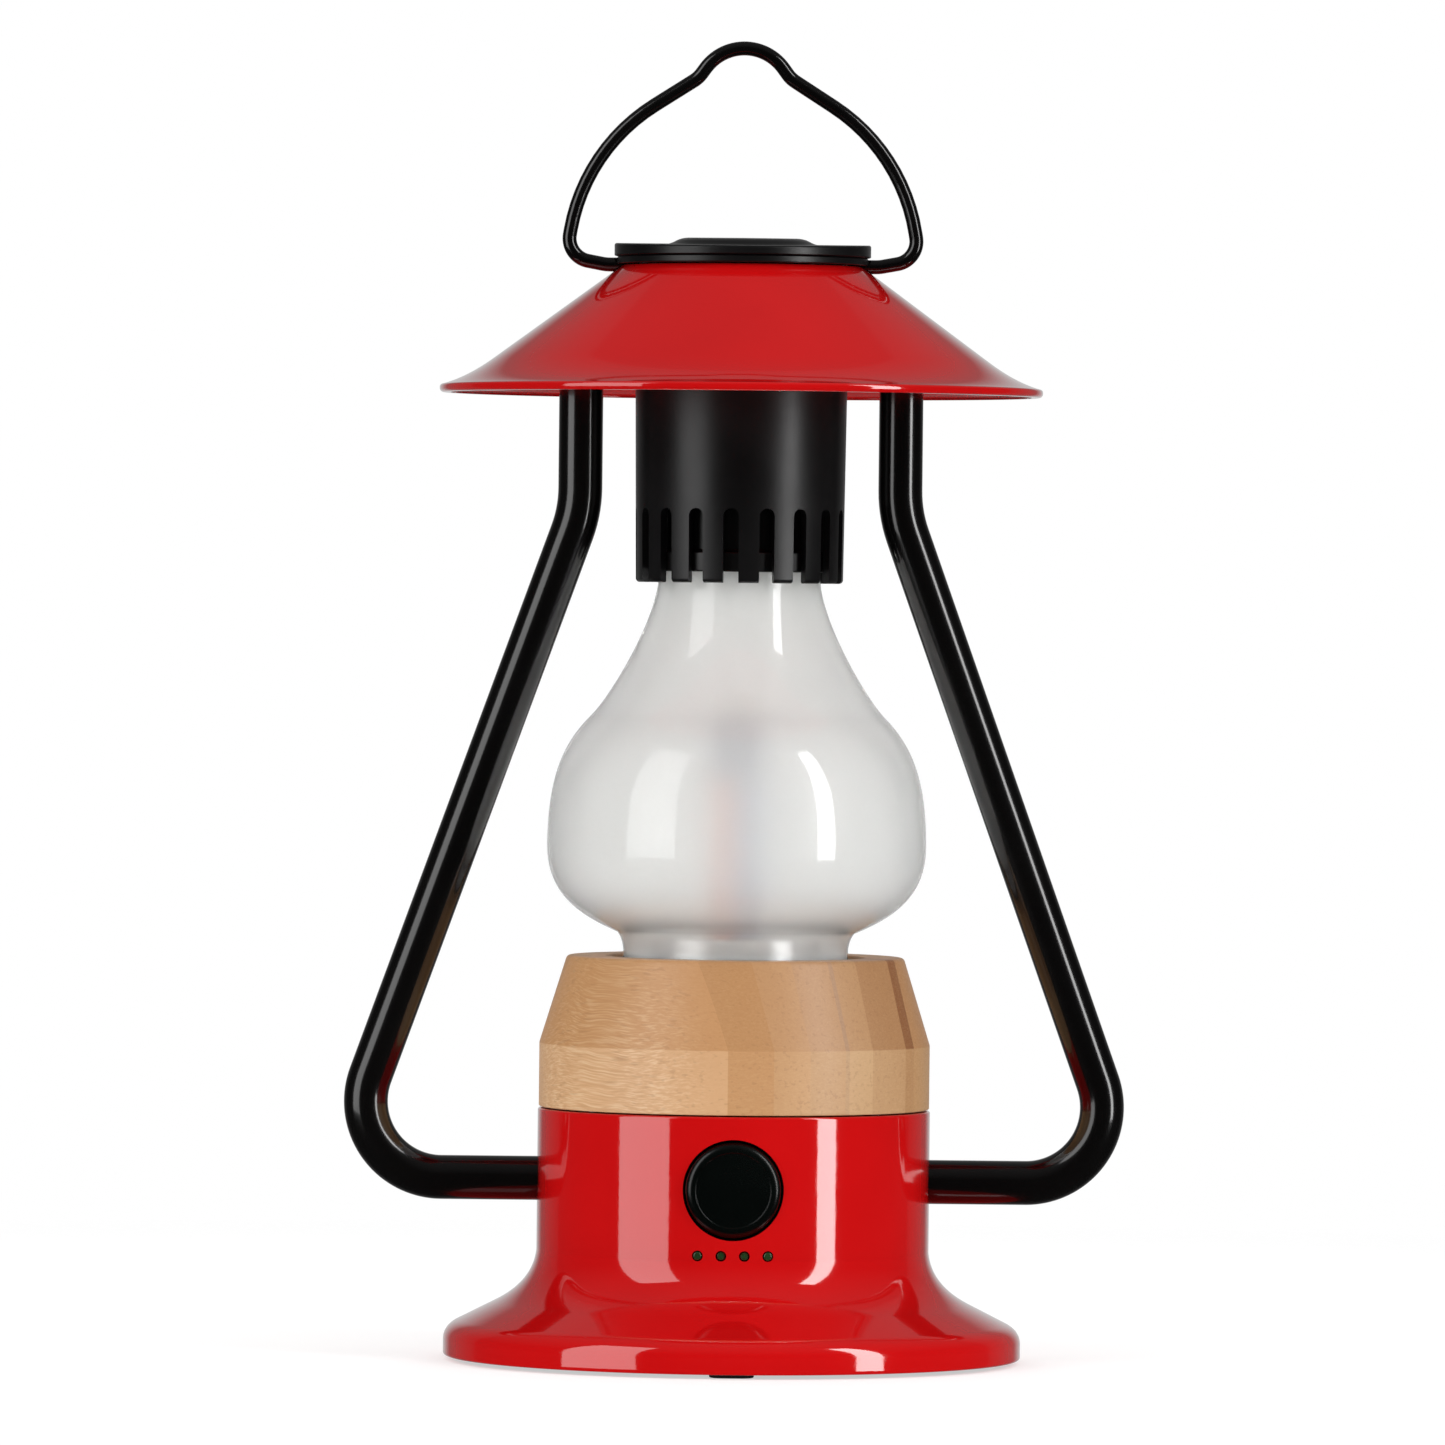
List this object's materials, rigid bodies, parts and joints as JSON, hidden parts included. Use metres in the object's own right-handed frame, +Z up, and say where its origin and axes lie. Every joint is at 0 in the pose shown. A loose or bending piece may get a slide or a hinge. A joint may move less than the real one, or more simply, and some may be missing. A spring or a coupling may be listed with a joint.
{
  "type": "rechargeable camping lantern",
  "caption": "Tabletop and hand-carried LED lantern in oil-lamp form, with a frosted globe, wooden collar, conical shade and swinging wire bail.",
  "frame": {"origin": "middle of the circle of feet, on the surface the lantern stands on", "axes": "+Z up through the globe, chimney and cap; -Y the front, where the button is; +X to the viewer's right, along the two frame tubes"},
  "size_m": [0.177, 0.1368, 0.2994],
  "materials": {
    "red_gloss": "high-gloss red enamel over moulded plastic",
    "black_gloss": "glossy black paint on steel tube and wire",
    "black_satin": "satin black moulded plastic",
    "black_button": "soft-gloss black plastic",
    "rubber_black": "matt black rubber",
    "bamboo": "turned laminated bamboo with a thin clear coat",
    "frosted_glass": "glass, glossy outside and frosted inside",
    "bright_metal": "bright plated sheet metal",
    "steel": "zinc-plated steel",
    "white_plastic": "matt white plastic",
    "phosphor_warm": "white circuit board with warm-white diodes",
    "phosphor_cool": "white circuit board with cool-white diodes",
    "board_green": "green solder mask on circuit board",
    "smoked_lens": "smoked green-tinted clear plastic",
    "cell_wrap": "blue plastic sleeve on a metal cell can",
    "wire_insulation": "red insulated lead"
  },
  "bodies": {
    "lantern": {"base_shell": "red_gloss", "base_plate": "black_satin", "foot_front": "rubber_black", "foot_right": "rubber_black", "foot_rear": "rubber_black", "foot_left": "rubber_black", "base_screw_1": "steel", "base_screw_2": "steel", "base_screw_3": "steel", "base_screw_4": "steel", "wood_collar": "bamboo", "collar_screw_1": "steel", "collar_screw_2": "steel", "collar_screw_3": "steel", "globe_seat": "black_satin", "globe_gasket": "rubber_black", "reflector_disc": "bright_metal", "globe": "frosted_glass", "led_post": "white_plastic", "led_board_front_right": "phosphor_cool", "led_board_rear_right": "phosphor_cool", "led_board_rear_left": "phosphor_warm", "led_board_front_left": "phosphor_warm", "led_cap": "white_plastic", "chimney": "black_satin", "neck_holder": "black_satin", "frame_tube_right": "black_gloss", "frame_tube_left": "black_gloss", "tube_clamp_right": "black_satin", "tube_clamp_left": "black_satin", "clamp_screw_1": "steel", "clamp_screw_2": "steel", "clamp_screw_3": "steel", "clamp_screw_4": "steel", "top_bracket": "steel", "standoff_right": "steel", "standoff_left": "steel", "cap_screw_right": "steel", "cap_screw_left": "steel", "shade": "red_gloss", "top_cap": "black_satin", "switch_board": "board_green", "tact_switch": "black_satin", "indicator_lens_1": "smoked_lens", "indicator_lens_2": "smoked_lens", "indicator_lens_3": "smoked_lens", "indicator_lens_4": "smoked_lens", "battery_holder": "black_satin", "battery_cell_front": "cell_wrap", "battery_cell_rear": "cell_wrap", "charge_board": "board_green", "usb_a_port": "bright_metal", "usb_c_port": "bright_metal", "led_lead": "wire_insulation", "battery_lead": "wire_insulation", "charge_lead": "wire_insulation"},
    "handle": {"bail": "black_gloss"},
    "button": {"power_button": "black_button"},
    "flap": {"port_cover": "rubber_black"}
  },
  "joints": [
    {"name": "bail_swing", "type": "hinge", "parent": "lantern", "child": "handle", "pos_m": [0, 0, 0.2485], "axis": [1, 0, 0], "range_deg": [-101, 101]},
    {"name": "button_press", "type": "slide", "parent": "lantern", "child": "button", "axis": [0, 1, 0], "range_m": [0, 0.001], "stiffness_N_per_m": 800, "springref_m": -0.001},
    {"name": "flap_hinge", "type": "hinge", "parent": "lantern", "child": "flap", "pos_m": [0, 0.0434, 0.0313], "axis": [-1, 0, 0], "range_deg": [0, 105]}
  ]
}
